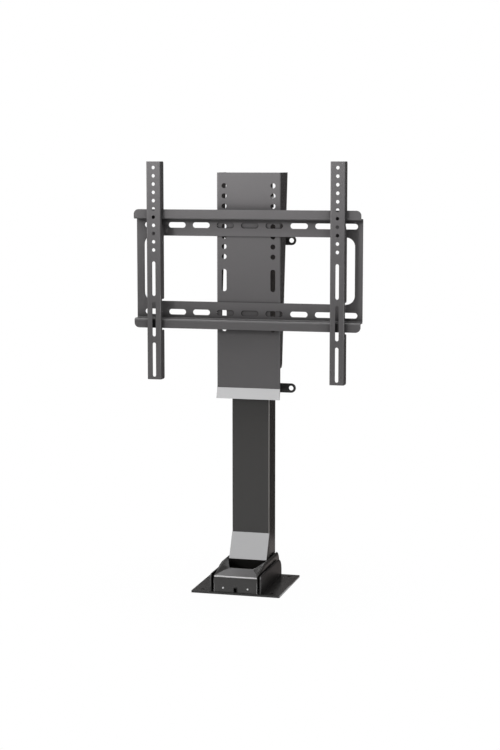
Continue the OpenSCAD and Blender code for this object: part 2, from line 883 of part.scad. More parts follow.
module inner_column() {
    color(paint) difference() {
        translate([0, col_y, slide_bottom]) tube(slide_w, slide_d, col_wall, col_r, slide_len);
        at_head_bolts() translate([0, 0, -ear_t - col_wall - cut])
            cylinder(h = col_wall + 2 * cut, d = head_bolt_d + 2 * run_gap);
        at_nut_screws() translate([0, 0, -nut_screw_l])
            cylinder(h = nut_screw_l, d = nut_screw_d + 2 * bolt_gap);
    }
}

module column_cap() {
    color(black_plastic) translate([0, col_y, slide_top]) {
        linear_extrude(cap_t) rounded(slide_w, slide_d, col_r);
        translate([0, 0, -cap_plug]) linear_extrude(cap_plug + cap_t / 2)
            rounded(slide_w - 2 * col_wall - 2 * block_fit, slide_d - 2 * col_wall - 2 * block_fit,
                col_r - col_wall);
    }
}

function ear_outline() = let(
    y0 = plate_back, y1 = col_y + slide_d / 2 - ear_back, z0 = col_top + ear_low, z1 = slide_top)
    [[y0, z0], [y1, z0], [y1, z1 - ear_cut_z], [y1 - ear_cut_y, z1], [y0, z1]];

module head_bracket() {
    color(dark_paint) difference() {
        union() {
            for (s = [-1, 1])
                side_sheet(s * (slide_w + ear_t) / 2 - ear_t / 2, ear_t) polygon(ear_outline());
            translate([-slide_w / 2 - ear_t, plate_back, col_top + ear_low])
                cube([slide_w + 2 * ear_t, ear_t, head_rise - ear_low]);
        }
        at_head_bolts() translate([0, 0, -ear_t - cut])
            cylinder(h = ear_t + 2 * cut, d = head_bolt_d + 2 * bolt_gap);
    }
}

module head_bolts() {
    color(zinc) at_head_bolts() {
        translate([0, 0, -ear_t - col_wall - 2]) cylinder(h = ear_t + col_wall + 2 + cut / 2, d = head_bolt_d);
        cylinder(h = bolt_head_h, d = head_bolt_d * 1.8, $fn = 6);
    }
}

module at_nut_screws() {
    for (x = [-1, 1], y = [-1, 1])
        translate([x * (cavity_w / 2 - 2 * slide_gap), col_y + y * slide_d / 4,
                slide_bottom + nut_flange_t / 2])
            rotate([0, x * 90, 0]) children();
}

module lower_glide() {
    color(black_plastic) difference() {
        translate([0, col_y, slide_bottom]) linear_extrude(glide_h) difference() {
            rounded(cavity_w - 2 * slide_gap, cavity_d - 2 * slide_gap, cavity_r);
            rounded(slide_w, slide_d, col_r);
        }
        at_nut_screws() flat_hole(nut_screw_d, nut_screw_l, nut_screw_sink);
    }
}

module drive_nut() {
    nut_fit = 0.2;
    color(bronze) translate([0, col_y, slide_bottom]) difference() {
        union() {
            linear_extrude(nut_flange_t) rounded(slide_w - 2 * col_wall - 2 * nut_fit,
                slide_d - 2 * col_wall - 2 * nut_fit, col_r - col_wall);
            cylinder(h = nut_l, d = nut_d);
        }
        translate([0, 0, -cut]) cylinder(h = nut_l + 2 * cut, d = screw_d + 2 * run_gap);
        translate([0, -col_y, -slide_bottom]) at_nut_screws() translate([0, 0, -nut_screw_l - cut])
            cylinder(h = nut_screw_l, d = nut_screw_d + 2 * run_gap);
    }
}

module nut_screws() {
    color(zinc) at_nut_screws() flat_screw(nut_screw_d, nut_screw_l, nut_screw_sink);
}

// Mount plate with its trim strip

function flange_outline() = let(
    y0 = plate_front, yt = plate_front + flange_top_d, yl = plate_front + flange_low_d,
    zt = plate_top, zl = plate_top - flange_h, r = flange_corner_r)
    concat([[y0, zl], [y0, zt], [yt, zt]], arc([yl - r, zl + r], r, 0, -90, 8));

module plate_holes() {
    for (s = [-1, 1]) {
        for (i = [0:plate_hole_n - 1])
            translate([s * plate_hole_w / 2, plate_top - plate_hole_top - i * plate_hole_pitch])
                circle(plate_hole_d / 2);
        for (i = [0:1])
            translate([s * plate_hole_w / 2, plate_top - plate_slot_top - i * plate_slot_pitch])
                rotate(90) slot(plate_slot_l, plate_hole_d);
    }
}

module mount_plate() {
    bend_d = flange_top_d + 2 * plate_bend_r;
    color(paint) difference() {
        union() {
            intersection() {
                union() {
                    sheet(plate_front, plate_t) difference() {
                        translate([-plate_w / 2, plate_bend]) square([plate_w, plate_h]);
                        plate_holes();
                    }
                    for (s = [-1, 1])
                        side_sheet(s * (plate_w - plate_t) / 2 - plate_t / 2, plate_t)
                            polygon(flange_outline());
                }
                translate([0, plate_front + bend_d / 2, plate_bend - cut])
                    linear_extrude(plate_h + 2 * cut) rounded(plate_w, bend_d, plate_bend_r);
            }
            side_sheet(-plate_w / 2, plate_w) polygon([
                [plate_back, plate_bend + cut], [plate_front + trim_run, plate_bend + cut],
                [plate_front + trim_run, plate_bend], [flare_tip + trim_run, flare_bottom],
                [flare_tip + plate_t, flare_bottom], [plate_back, plate_bend]]);
        }
        at_rail_studs() translate([0, 0, -plate_t - cut])
            cylinder(h = plate_t + 2 * cut, d = stud_d + 2 * bolt_gap);
    }
}

module lip_trim() {
    color(satin) side_sheet(-plate_w / 2, plate_w) polygon([
        [plate_front, plate_bend], [flare_tip, flare_bottom],
        [flare_tip + trim_run, flare_bottom], [plate_front + trim_run, plate_bend]]);
}

// Rail frame

function half_profile() = let(
    t = rail_t, r = rail_bend_r, q = rail_bend_r + rail_t, y0 = rim_front, y1 = rail_front,
    z = web_half, z1 = web_half + rim_h)
    concat(arc([y1 + t - q, z - q], q, 0, 90, 6), arc([y0 + t + r, z + r], r, 270, 180, 6),
        [[y0 + t, z1], [y0, z1]], arc([y0 + q, z - t + q], q, 180, 270, 6),
        arc([y1 - r, z - t - r], r, 90, 0, 6));

module rail_frame() {
    upper = half_profile();
    last = len(upper) - 1;
    lower = [for (i = [0:last]) [upper[last - i][0], -upper[last - i][1]]];
    slot_z = web_half - rail_slot_edge;
    slot_side = floor((rail_w / 2 - rail_slot_end - rail_slot_l / 2 - rail_slot_shift) / rail_slot_pitch);
    color(paint) translate([0, 0, rail_z]) difference() {
        intersection() {
            side_sheet(-rail_w / 2, rail_w) polygon(concat(upper, lower));
            sheet(rim_front - cut, rim_reach + rail_t + 2 * cut)
                rounded(rail_w, 2 * (web_half + rim_h), rim_r);
        }
        sheet(rail_front - cut, rail_t + 2 * cut) {
            rounded(window_w, window_h, window_r);
            for (s = [-1, 1], i = [-slot_side:slot_side])
                translate([i * rail_slot_pitch + rail_slot_shift, s * slot_z])
                    slot(rail_slot_l, rail_slot_w);
        }
    }
}

// Studs welded to the back of the rail frame, with nuts behind the mount plate

module at_rail_studs() {
    for (x = [-1, 1], z = [-1, 1])
        translate([x * rail_slot_pitch / 2 + rail_slot_shift, plate_back,
                rail_z + z * (web_half - rail_slot_edge)])
            rotate([-90, 0, 0]) children();
}

module rail_studs() {
    color(zinc) at_rail_studs() {
        translate([0, 0, -plate_t]) cylinder(h = plate_t + stud_nut_h + stud_over, d = stud_d);
        cylinder(h = stud_nut_h, d = stud_d * 1.8, $fn = 6);
    }
}

// Screen arms that hook over the rims

function arm_outline() = let(
    zt = arm_top, zb = arm_bottom, y0 = arm_front, y1 = arm_back, r = arm_corner_r,
    hook_y = rim_front - hook_room, tooth_y = rim_front + rail_t + hook_room,
    seat = rim_top, shelf_top = rail_z + web_half, shelf_low = rail_z + web_half - rail_t,
    notch_y = rim_front - low_notch_room,
    low_top = rim_bottom + low_notch_up, low_end = rim_bottom - low_notch_down, q = notch_r)
    concat([[y0, zb]], [[y0, zt]], arc([y1 - r, zt - r], r, 90, 0, 6),
        [[y1, shelf_top + hook_clear], [tooth_y, shelf_top + hook_clear], [tooth_y, seat], [hook_y, seat],
            [hook_y, shelf_low - hook_slope_top], [y1, shelf_low - hook_slope_low]],
        arc([y1 - q, low_top + q], q, 0, -90, 6),
        [[notch_y, low_top], [notch_y, low_end]],
        arc([y1 - q, low_end - q], q, 90, 0, 6),
        arc([y1 - r, zb + r], r, 0, -90, 6));

module arm() {
    color(paint) intersection() {
        union() {
            sheet(arm_front, arm_t) translate([0, arm_bottom]) difference() {
                translate([-arm_w / 2, 0]) square([arm_w, arm_l]);
                for (i = [0:arm_hole_n - 1])
                    translate([0, arm_l - arm_hole_top - i * arm_hole_pitch]) circle(arm_hole_d / 2);
                for (i = [0:2])
                    translate([0, arm_l - arm_slot_top - arm_slot_l / 2 - i * (arm_slot_l + arm_slot_bridge)])
                        rotate(90) slot(arm_slot_l, arm_hole_d);
            }
            difference() {
                for (s = [-1, 1])
                    side_sheet(s * (arm_w - arm_t) / 2 - arm_t / 2, arm_t) polygon(arm_outline());
                at_lock_screws() flat_hole(lock_screw_d, arm_t + cut, lock_sink);
            }
        }
        translate([0, arm_front + arm_d, arm_bottom - cut]) linear_extrude(arm_l + 2 * cut)
            rounded(arm_w, 2 * arm_d, arm_bend_r);
    }
}

module arm_left() {
    translate([-arm_x, 0, 0]) arm();
}

module arm_right() {
    translate([arm_x, 0, 0]) arm();
}

// Latch inside each arm that keeps it on the lower rim

lock_w = arm_w - 2 * arm_t - 2 * lock_gap;
lock_y0 = arm_front + arm_t + lock_gap;
lock_y1 = rim_front + rail_t + lock_gap + lock_back;
lock_z = rim_bottom - lock_drop;

module at_lock_screws() {
    for (s = [-1, 1])
        translate([s * arm_w / 2, (lock_y0 + rim_front) / 2, lock_z + lock_bar_h / 2])
            rotate([0, s * 90, 0]) children();
}

module lock() {
    color(zinc) difference() {
        union() {
            translate([-lock_w / 2, lock_y0, lock_z])
                cube([lock_w, lock_y1 - lock_y0, lock_bar_h]);
            for (s = [-1, 1])
                translate([s * (lock_w - lock_finger) / 2 - lock_finger / 2, rim_front - 2 * hook_room, lock_z])
                    cube([lock_finger, lock_y1 - rim_front + 2 * hook_room, lock_drop + lock_rise]);
        }
        translate([-lock_w, rim_front - lock_gap, rim_bottom - lock_gap])
            cube([2 * lock_w, rail_t + 2 * lock_gap, lock_drop]);
        translate([-lock_w, rim_front - 3 * hook_room, rim_bottom - lock_gap])
            cube([2 * lock_w, 3 * hook_room, lock_drop]);
        at_lock_screws() translate([0, 0, -arm_w / 4 - cut])
            cylinder(h = arm_w / 4, d = lock_screw_d + 2 * run_gap);
    }
}

module lock_screws() {
    color(paint) at_lock_screws() flat_screw(lock_screw_d, arm_w / 5, lock_sink);
}

module arm_lock_left() {
    translate([-arm_x, 0, 0]) lock();
}

module arm_lock_right() {
    translate([arm_x, 0, 0]) lock();
}

module lock_screws_left() {
    translate([-arm_x, 0, 0]) lock_screws();
}

module lock_screws_right() {
    translate([arm_x, 0, 0]) lock_screws();
}

// Lead screw and the pieces that turn with it

module lead_screw() {
    color(zinc) translate([0, col_y, 0]) {
        translate([0, 0, coupling_z + coupling_l / 2])
            cylinder(h = screw_z - coupling_z - coupling_l / 2 + cut, d = journal_d);
        translate([0, 0, screw_z]) cylinder(h = shoulder_h, d = shoulder_d);
        translate([0, 0, screw_z]) cylinder(h = screw_top - screw_z, d = screw_d);
    }
}

module gear_shaft() {
    color(zinc) translate([0, col_y, motor_plate_z - shaft_hold])
        cylinder(h = shaft_hold + coupling_z + coupling_l / 2 - motor_plate_z, d = shaft_d);
}

module shaft_coupling() {
    color(dark_paint) translate([0, col_y, coupling_z]) difference() {
        cylinder(h = coupling_l, d = coupling_d);
        translate([0, 0, -cut]) cylinder(h = coupling_l / 2 + cut, d = shaft_d + 2 * run_gap);
        translate([0, 0, coupling_l / 2]) cylinder(h = coupling_l, d = journal_d + 2 * run_gap);
    }
}

module screw_guide() {
    color(black_plastic) translate([0, col_y, screw_top])
        cylinder(h = end_guide_h, d = slide_d - 2 * col_wall - 2 * end_guide_gap);
}

base_plate();
foot_block();
foot_bolts();
outer_column();
guide_collar();
column_screws();
tie_rods();
rod_sleeves();
drive_motor();
gearbox();
motor_plate();
bearing_plate();
thrust_bearing();
foot_nose();
nose_trim();
boot_cover();
boot_cheek_left();
boot_cheek_right();
boot_tabs();
boot_screws();
cheek_screws();
cable_grommet();
control_box();
circuit_board();
strap_upper();
strap_lower();
strap_screws();
inner_column();
column_cap();
head_bracket();
head_bolts();
mount_plate();
lip_trim();
rail_frame();
rail_studs();
lower_glide();
drive_nut();
nut_screws();
arm_left();
arm_right();
arm_lock_left();
arm_lock_right();
lock_screws_left();
lock_screws_right();
lead_screw();
gear_shaft();
shaft_coupling();
screw_guide();
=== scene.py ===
import math

import bmesh
import bpy
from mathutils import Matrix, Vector


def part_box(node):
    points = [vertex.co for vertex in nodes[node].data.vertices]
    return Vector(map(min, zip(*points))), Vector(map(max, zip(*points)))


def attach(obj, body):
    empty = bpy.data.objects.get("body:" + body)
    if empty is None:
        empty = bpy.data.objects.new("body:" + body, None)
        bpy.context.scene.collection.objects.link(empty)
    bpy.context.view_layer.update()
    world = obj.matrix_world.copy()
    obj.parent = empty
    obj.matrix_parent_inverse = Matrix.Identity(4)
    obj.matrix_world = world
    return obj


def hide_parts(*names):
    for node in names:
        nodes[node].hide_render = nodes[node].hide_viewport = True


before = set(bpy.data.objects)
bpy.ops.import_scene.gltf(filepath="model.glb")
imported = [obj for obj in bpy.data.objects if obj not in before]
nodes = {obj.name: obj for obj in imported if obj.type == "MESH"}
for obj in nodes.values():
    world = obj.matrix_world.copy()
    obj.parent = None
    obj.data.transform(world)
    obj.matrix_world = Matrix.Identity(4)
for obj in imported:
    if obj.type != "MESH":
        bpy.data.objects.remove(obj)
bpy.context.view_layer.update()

# Camera
# The photograph was taken from in front and a little to the right, level with the lift's top
# and looking slightly down, with a long lens.
camera_data = bpy.data.cameras.new("photo_camera")
camera_data.lens = 82.28
camera_data.sensor_width = 36.0
camera_data.clip_end = 200.0
camera = bpy.data.objects.new("photo_camera", camera_data)
camera.location = (0.86410, -3.27315, 0.84972)
camera.rotation_euler = (math.radians(82.880), 0.0, math.radians(14.668))
bpy.context.scene.collection.objects.link(camera)
bpy.context.scene.camera = camera
bpy.context.scene.view_settings.view_transform = "Standard"

# Studio room
# A white sweep that the camera and every reflection see as white, and a plain grey light
# from all round for the matt surfaces.
world = bpy.data.worlds.new("studio_room")
bpy.context.scene.world = world
world.use_nodes = True
room = world.node_tree
room.nodes.clear()


def calc(tree, operation, *values, clamp=False):
    # The output of a math node. Each value is a plain number or another node's output.
    node = tree.nodes.new("ShaderNodeMath")
    node.operation = operation
    node.use_clamp = clamp
    for socket, value in zip(node.inputs, values):
        if isinstance(value, float):
            socket.default_value = value
        else:
            tree.links.new(value, socket)
    return node.outputs[0]


def seen_rays(tree):
    # 1 for what is seen directly, mirrored or through glass, and 0 for light that falls.
    rays = tree.nodes.new("ShaderNodeLightPath").outputs
    seen = calc(tree, "ADD", rays["Is Camera Ray"], rays["Is Glossy Ray"])
    return calc(tree, "ADD", seen, rays["Is Transmission Ray"], clamp=True)


def room_white(strength):
    light = room.nodes.new("ShaderNodeBackground")
    light.inputs["Color"].default_value = (1.0, 1.0, 1.0, 1.0)
    light.inputs["Strength"].default_value = strength
    return light.outputs[0]


room_out = room.nodes.new("ShaderNodeOutputWorld")
room_mix = room.nodes.new("ShaderNodeMixShader")
room.links.new(seen_rays(room), room_mix.inputs[0])
room_fill, room_seen = 0.15, 1.0
room.links.new(room_white(room_fill), room_mix.inputs[1])
room.links.new(room_white(room_seen), room_mix.inputs[2])
room.links.new(room_mix.outputs[0], room_out.inputs["Surface"])

# Floor
# Plain white paper. Close to the lift it shows a little under full white and keeps a soft
# shadow, and further out it shows as pure white.
floor_mesh = bpy.data.meshes.new("studio_floor")
floor_form = bmesh.new()
bmesh.ops.create_circle(floor_form, cap_ends=True, radius=60.0, segments=96)
floor_form.to_mesh(floor_mesh)
floor_form.free()
floor = bpy.data.objects.new("studio_floor", floor_mesh)
bpy.context.scene.collection.objects.link(floor)


def map_range(tree, value, start, end, low, high, curve="LINEAR"):
    node = tree.nodes.new("ShaderNodeMapRange")
    node.interpolation_type = curve
    for label, amount in (("From Min", start), ("From Max", end), ("To Min", low), ("To Max", high)):
        node.inputs[label].default_value = amount
    tree.links.new(value, node.inputs["Value"])
    return node.outputs["Result"]


floor_paper = bpy.data.materials.new("white_paper_sweep")
floor_paper.use_nodes = True
paper = floor_paper.node_tree
paper.nodes.clear()
paper_out = paper.nodes.new("ShaderNodeOutputMaterial")
paper_mix = paper.nodes.new("ShaderNodeMixShader")
paper_matt = paper.nodes.new("ShaderNodeBsdfDiffuse")
paper_matt.inputs["Color"].default_value = (0.80, 0.80, 0.80, 1.0)
paper_white = paper.nodes.new("ShaderNodeEmission")
paper_place = paper.nodes.new("ShaderNodeTexCoord")
paper_reach = paper.nodes.new("ShaderNodeVectorMath")
paper_reach.operation = "LENGTH"
paper.links.new(paper_place.outputs["Object"], paper_reach.inputs[0])
shadow_near, shadow_far, white_near, white_far = 0.12, 0.45, 0.975, 1.0
paper_fade = map_range(paper, paper_reach.outputs["Value"], shadow_near, shadow_far, white_near, white_far,
                       "SMOOTHSTEP")
paper.links.new(calc(paper, "MULTIPLY", seen_rays(paper), paper_fade), paper_mix.inputs[0])
paper.links.new(paper_matt.outputs[0], paper_mix.inputs[1])
paper.links.new(paper_white.outputs[0], paper_mix.inputs[2])
paper.links.new(paper_mix.outputs[0], paper_out.inputs["Surface"])
floor_mesh.materials.append(floor_paper)

# Soft boxes
# A bright key high on the left and a spot on the lift's head, a front box and a low strip that
# show in the glossy faces, and three large boxes above, on the left and behind for the rest.


def place_lamp(name, lamp, place, aim, mirrored):
    light = bpy.data.objects.new(name, lamp)
    light.location = place
    light.rotation_euler = (Vector(aim) - Vector(place)).to_track_quat("-Z", "Y").to_euler()
    light.visible_camera = False
    light.visible_glossy = mirrored
    bpy.context.scene.collection.objects.link(light)


def soft_box(name, place, aim, size, radiance, mirrored=True):
    lamp = bpy.data.lights.new(name, "AREA")
    lamp.shape = "RECTANGLE"
    lamp.size, lamp.size_y = size
    lamp.energy = radiance * math.pi * size[0] * size[1]
    place_lamp(name, lamp, place, aim, mirrored)


soft_box("front_box", (-1.08, -3.3, 1.22), (-1.08, 0.0, 1.22), (1.24, 0.44), 3.6)
soft_box("key_box", (-1.9, -2.7, 1.75), (0.0, 0.0, 0.6), (0.7, 0.7), 12.0, mirrored=False)
soft_box("low_strip", (1.88, -0.68, 0.13), (0.0, 0.06, 0.13), (0.08, 0.25), 60.0)
soft_box("top_box", (-0.2, -0.5, 2.7), (0.0, 0.0, 0.0), (2.4, 2.4), 2.4)
soft_box("left_box", (-2.8, -1.0, 1.3), (0.0, 0.0, 0.5), (1.4, 2.0), 1.2)
soft_box("back_box", (-0.5, 3.0, 1.4), (0.0, 0.0, 0.5), (2.2, 1.6), 8.0, mirrored=False)
head_lamp = bpy.data.lights.new("head_spot", "SPOT")
head_lamp.energy = 730.0
head_lamp.shadow_soft_size = 0.2
head_lamp.spot_size = math.radians(16.0)
head_lamp.spot_blend = 1.0
place_lamp("head_spot", head_lamp, (-1.9, -2.7, 1.9), (-0.06, 0.0, 1.05), False)

# Dark flags
# Cloth hung round the lift and laid on the floor, hidden from the camera. The painted faces
# mirror it in place of the white room and stay dark, and the greyer cloths set how dark.


def flag_finish(name, glow):
    finish = bpy.data.materials.new(name)
    finish.use_nodes = True
    cloth = finish.node_tree
    cloth.nodes.clear()
    cloth_out = cloth.nodes.new("ShaderNodeOutputMaterial")
    cloth_glow = cloth.nodes.new("ShaderNodeEmission")
    cloth_glow.inputs["Color"].default_value = (1.0, 0.90, 0.87, 1.0)
    cloth_glow.inputs["Strength"].default_value = glow
    cloth.links.new(cloth_glow.outputs[0], cloth_out.inputs["Surface"])
    return finish


black_cloth = flag_finish("black_flag_cloth", 0.060)
grey_cloth = flag_finish("grey_flag_cloth", 0.11)
pale_cloth = flag_finish("pale_flag_cloth", 0.32)


def flag(name, finish, corners, faces):
    mesh = bpy.data.meshes.new(name)
    mesh.from_pydata(corners, [], faces)
    mesh.materials.append(finish)
    screen = bpy.data.objects.new(name, mesh)
    screen.visible_camera = False
    screen.visible_shadow = False
    bpy.context.scene.collection.objects.link(screen)


def arc_flag(name, finish, near, far, start, end, count):
    # Cloth between two arcs round the lift, each with a radius and a height in metres, from
    # one angle to another.
    corners = []
    for radius, height in (near, far):
        for i in range(count + 1):
            turn = math.radians(start + (end - start) * i / count)
            corners.append((radius * math.cos(turn), radius * math.sin(turn), height))
    flag(name, finish, corners, [(i, i + 1, i + count + 2, i + count + 1) for i in range(count)])


hung_at, laid_at, laid_z = 3.2, 0.45, 0.002
arc_flag("flag_hung", black_cloth, (hung_at, 0.0), (hung_at, 1.15), 6.0, 128.0, 28)
arc_flag("flag_upper", black_cloth, (hung_at, 1.15), (hung_at, 2.40), 48.0, 98.0, 10)
arc_flag("flag_near", pale_cloth, (0.06, laid_z), (laid_at, laid_z), 4.0, 97.0, 28)
arc_flag("flag_laid", black_cloth, (laid_at, laid_z), (hung_at, laid_z), 4.0, 200.0, 28)
arc_flag("flag_high", black_cloth, (hung_at, 0.0), (hung_at, 3.0), 120.0, 196.0, 20)
front_y, front_left, front_right, front_top = -3.34, -2.6, 0.30, 1.60
flag("flag_front", grey_cloth, [(front_left, front_y, 0.0), (front_right, front_y, 0.0),
                                (front_right, front_y, front_top), (front_left, front_y, front_top)],
     [(0, 3, 2, 1)])

# Floor plate
# A flat 4 mm steel plate with four floor holes, in a satin black powder coat. The coat has a
# fine orange peel, a little cloudiness and painted shade in its creases, and can carry a painted highlight on
# a corner.


def new_group(name, sockets):
    # A shader node group, the outputs of its input node and the inputs of its output node.
    group = bpy.data.node_groups.new(name, "ShaderNodeTree")
    for label, way, kind, value in sockets:
        socket = group.interface.new_socket(name=label, in_out=way, socket_type=kind)
        if value is not None:
            socket.default_value = value
    return group, group.nodes.new("NodeGroupInput").outputs, group.nodes.new("NodeGroupOutput").inputs


def surface_sockets(colour, *more):
    return [("Colour", "INPUT", "NodeSocketColor", (*colour, 1.0))] + [
        (label, "INPUT", "NodeSocketFloat", value) for label, value in more] + [
        ("Colour", "OUTPUT", "NodeSocketColor", None),
        ("Roughness", "OUTPUT", "NodeSocketFloat", None),
        ("Height", "OUTPUT", "NodeSocketFloat", None)]


def noise(tree, place, scale, detail=2.0):
    node = tree.nodes.new("ShaderNodeTexNoise")
    node.inputs["Detail"].default_value = detail
    tree.links.new(place, node.inputs["Vector"])
    if isinstance(scale, float):
        node.inputs["Scale"].default_value = scale
    else:
        tree.links.new(scale, node.inputs["Scale"])
    return node.outputs[0]


def vary(tree, inlet, outlet, mask, amount, shade=1.0):
    # Swings the colour and the roughness up and down with a mask from 0 to 1, and shades the
    # colour.
    swing = calc(tree, "MULTIPLY_ADD", map_range(tree, mask, 0.0, 1.0, -1.0, 1.0), inlet[amount], 1.0)
    tint = tree.nodes.new("ShaderNodeVectorMath")
    tint.operation = "SCALE"
    tree.links.new(inlet["Colour"], tint.inputs[0])
    tree.links.new(calc(tree, "MULTIPLY", swing, shade), tint.inputs["Scale"])
    tree.links.new(tint.outputs["Vector"], outlet["Colour"])
    tree.links.new(calc(tree, "MULTIPLY", swing, inlet["Roughness"]), outlet["Roughness"])


coat, coat_in, coat_out = new_group("powder_coat", surface_sockets(
    (0.1, 0.1, 0.1), ("Cloud", 0.06), ("Roughness", 0.3), ("Peel scale", 900.0), ("Crease_shade", 0.8),
    ("Corner", 0.0)))
coat_place = coat.nodes.new("ShaderNodeTexCoord").outputs
# Painted shade: the colour darkens where ambient occlusion finds a crease or another part within 30 mm.
coat_shade_probe = coat.nodes.new("ShaderNodeAmbientOcclusion")
coat_shade_probe.samples = 8
coat_shade_probe.inputs["Distance"].default_value = 0.03
coat_shade_depth = map_range(coat, coat_shade_probe.outputs["AO"], 0.95, 0.35, 0.0, 1.0)
coat_crease_shade = calc(coat, "SUBTRACT", 1.0, calc(coat, "MULTIPLY", coat_shade_depth, coat_in["Crease_shade"]))
# The painted highlight mask is 1 where a rounded corner faces half forward and half to the right,
# or half back and half to the left, and 0 on the flat faces.
coat_facing = coat.nodes.new("ShaderNodeSeparateXYZ")
coat.links.new(coat_place["Normal"], coat_facing.inputs[0])
coat_turn = calc(coat, "MULTIPLY", coat_facing.outputs["X"], coat_facing.outputs["Y"])
coat_highlight_mask = calc(coat, "POWER", calc(coat, "MULTIPLY", coat_turn, -2.0, clamp=True), 3.0)
coat_highlight_gain = calc(coat, "MULTIPLY_ADD", coat_highlight_mask, coat_in["Corner"], 1.0)
vary(coat, coat_in, coat_out, noise(coat, coat_place["Object"], 9.0, 4.0), "Cloud",
     calc(coat, "MULTIPLY", coat_crease_shade, coat_highlight_gain))
coat.links.new(noise(coat, coat_place["Object"], coat_in["Peel scale"]), coat_out["Height"])


def finish_from(group, name, colour, depth, metallic=0.0, specular=0.5, **values):
    # A finish on one of the shared groups; depth is the bump's height in metres.
    finish = bpy.data.materials.new(name)
    finish.use_nodes = True
    tree = finish.node_tree
    skin = tree.nodes["Principled BSDF"]
    skin.inputs["Metallic"].default_value = metallic
    skin.inputs["Specular IOR Level"].default_value = specular
    surface = tree.nodes.new("ShaderNodeGroup")
    surface.node_tree = group
    surface.inputs["Colour"].default_value = (*colour, 1.0)
    for label, value in values.items():
        surface.inputs[label.replace("_", " ")].default_value = value
    bump = tree.nodes.new("ShaderNodeBump")
    bump.inputs["Strength"].default_value = 1.0
    bump.inputs["Distance"].default_value = depth
    tree.links.new(surface.outputs["Colour"], skin.inputs["Base Color"])
    tree.links.new(surface.outputs["Roughness"], skin.inputs["Roughness"])
    tree.links.new(surface.outputs["Height"], bump.inputs["Height"])
    tree.links.new(bump.outputs["Normal"], skin.inputs["Normal"])
    return finish


def dress(name, finish, edge, steps=2):
    # Gives a CAD piece its finish and rolled edges of a radius in metres.
    part = nodes[name]
    part.data.materials.clear()
    part.data.materials.append(finish)
    weld = part.modifiers.new("weld", "WELD")
    weld.merge_threshold = 0.000001
    bevel = part.modifiers.new("rolled_edges", "BEVEL")
    bevel.width = edge
    bevel.segments = steps
    bevel.limit_method = "ANGLE"
    bevel.angle_limit = math.radians(32.0)


black_paint, peel_height = (0.0335, 0.0320, 0.0305), 0.00003
black_coat = finish_from(coat, "black_powder_coat", black_paint, peel_height, Roughness=0.26)
floor_coat = finish_from(coat, "floor_plate_coat", (0.0265, 0.0255, 0.0245), peel_height, Roughness=0.20)
dress("base_plate", floor_coat, 0.0004)

# Foot block and its bolts
# A turned and milled steel block inside the column's foot, bright zinc plated. Four flat head
# bolts come up into it through the floor plate.
plating, plating_in, plating_out = new_group("zinc_plating", surface_sockets(
    (0.6, 0.6, 0.61), ("Spangle", 0.10), ("Roughness", 0.3), ("Spangle scale", 220.0)))
plating_place = plating.nodes.new("ShaderNodeTexCoord").outputs["Object"]
plating_cells = plating.nodes.new("ShaderNodeTexVoronoi")
plating_split = plating.nodes.new("ShaderNodeSeparateColor")
plating.links.new(plating_place, plating_cells.inputs["Vector"])
plating.links.new(plating_in["Spangle scale"], plating_cells.inputs["Scale"])
plating.links.new(plating_cells.outputs["Color"], plating_split.inputs[0])
vary(plating, plating_in, plating_out, plating_split.outputs[0], "Spangle")
plating.links.new(noise(plating, plating_place, 1500.0), plating_out["Height"])

plating_height = 0.00001
zinc = finish_from(plating, "bright_zinc", (0.62, 0.62, 0.63), plating_height, metallic=1.0, Roughness=0.30)
dress("foot_block", zinc, 0.0005)
dress("foot_bolts", zinc, 0.0002)

# Fixed column
# A rectangular steel tube with 3 mm corners, in the satin black coat, with a painted highlight as a
# light line on its right front and left back corners. Four pan head screws hold it to the foot block.
column_coat = finish_from(coat, "column_powder_coat", black_paint, peel_height, Roughness=0.26, Corner=9.0)
dress("outer_column", column_coat, 0.0002)


def box_mm(name):
    return [corner * 1000.0 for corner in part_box(name)]


def middle_mm(name):
    low, high = box_mm(name)
    return (low + high) / 2.0


def turned_ring(radius, height, flat, count=36):
    # A ring of a turned form in millimetres; flat 0 is round and flat 1 is a hexagon.
    points = []
    for i in range(count):
        turn = 2.0 * math.pi * i / count
        side = math.cos(math.radians(30.0)) / math.cos(turn % math.radians(60.0) - math.radians(30.0))
        reach = radius * (1.0 - flat + flat * side)
        points.append(Vector((reach * math.cos(turn), reach * math.sin(turn), height)))
    return points


def skin_rings(form, rings):
    # A closed skin over rings of points in millimetres.
    rows = [[form.verts.new(point * 0.001) for point in ring] for ring in rings]
    count = len(rows[0])
    for low, high in zip(rows, rows[1:]):
        for i in range(count):
            form.faces.new((low[i], low[(i + 1) % count], high[(i + 1) % count], high[i]))
    form.faces.new(rows[0][::-1])
    form.faces.new(rows[-1])


def settle(name, form, finish, body, stands_for=(), sharp=30.0):
    # Turns a finished form into a piece that rides on its body.
    bmesh.ops.recalc_face_normals(form, faces=form.faces)
    mesh = bpy.data.meshes.new(name)
    form.to_mesh(mesh)
    form.free()
    mesh.materials.append(finish)
    mesh.shade_smooth()
    mesh.set_sharp_from_angle(angle=math.radians(sharp))
    thing = bpy.data.objects.new(name, mesh)
    bpy.context.scene.collection.objects.link(thing)
    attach(thing, body)
    if stands_for:
        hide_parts(*stands_for)
    return thing


def turned_set(name, profile, spots, finish, body, stands_for):
    # The same turned form at every spot; a spot is its place in millimetres and the way
    # that the form's top faces.
    form = bmesh.new()
    for place, way in spots:
        turn = Vector(way).to_track_quat("Z", "Y").to_matrix()
        skin_rings(form, [[turn @ point + Vector(place) for point in turned_ring(*row)] for row in profile])
    settle(name, form, finish, body, stands_for)


